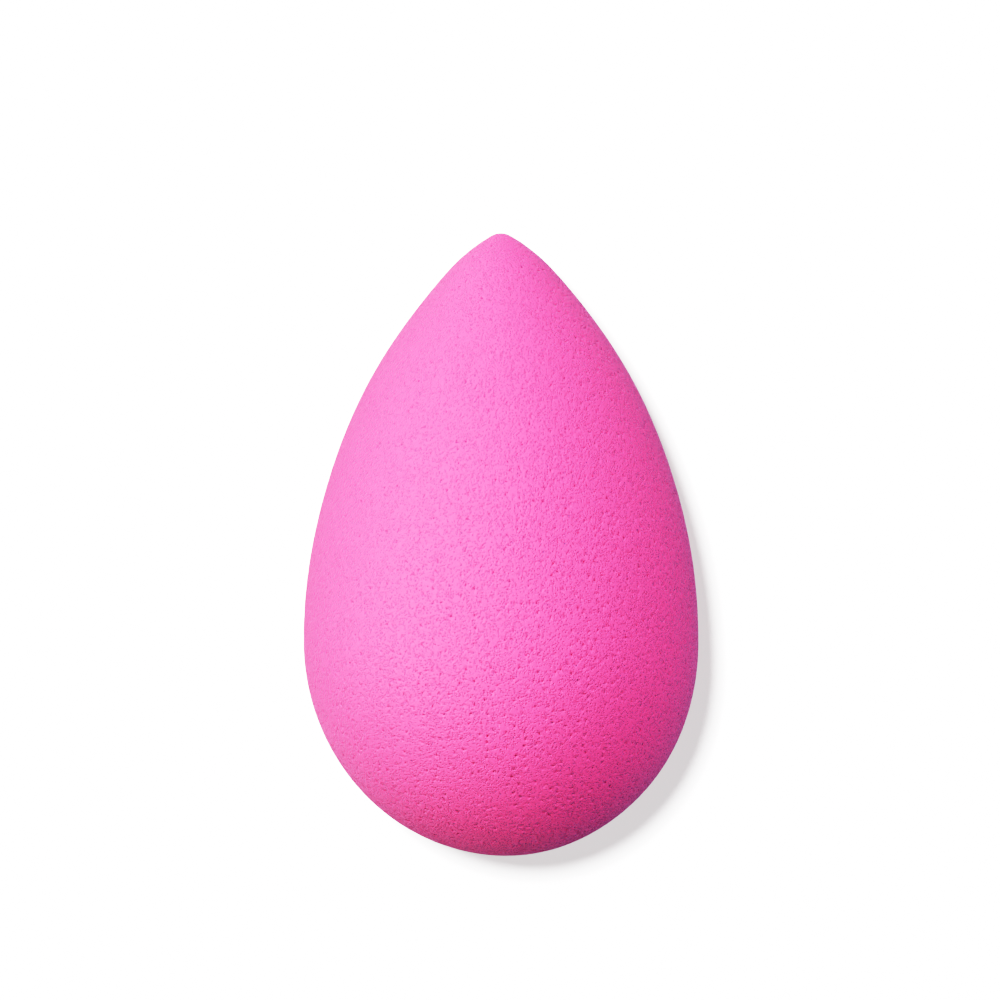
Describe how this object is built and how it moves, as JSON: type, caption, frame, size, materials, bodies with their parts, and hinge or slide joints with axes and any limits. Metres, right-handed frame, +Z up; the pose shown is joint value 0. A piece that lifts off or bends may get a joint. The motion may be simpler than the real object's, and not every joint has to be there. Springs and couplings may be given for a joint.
{
  "type": "makeup sponge",
  "caption": "Teardrop makeup sponge of soft open-cell foam, with a round base for blending and a pointed tip for small areas, lying on its side.",
  "frame": {"origin": "middle of the flat that the sponge rests on, straight under its centre of mass", "axes": "+Z up, +Y towards the tip, +X to the right when the tip points away. The sponge's own axis lies in the YZ plane and dips 9.1 degrees below +Y, as it does when the sponge lies free on a table"},
  "size_m": [0.0394, 0.0615, 0.0394],
  "materials": {
    "pink_foam": "matt open-cell polyurethane foam with fine pores, dyed pink through and through"
  },
  "bodies": {
    "root": {"sponge": "pink_foam"}
  },
  "joints": []
}
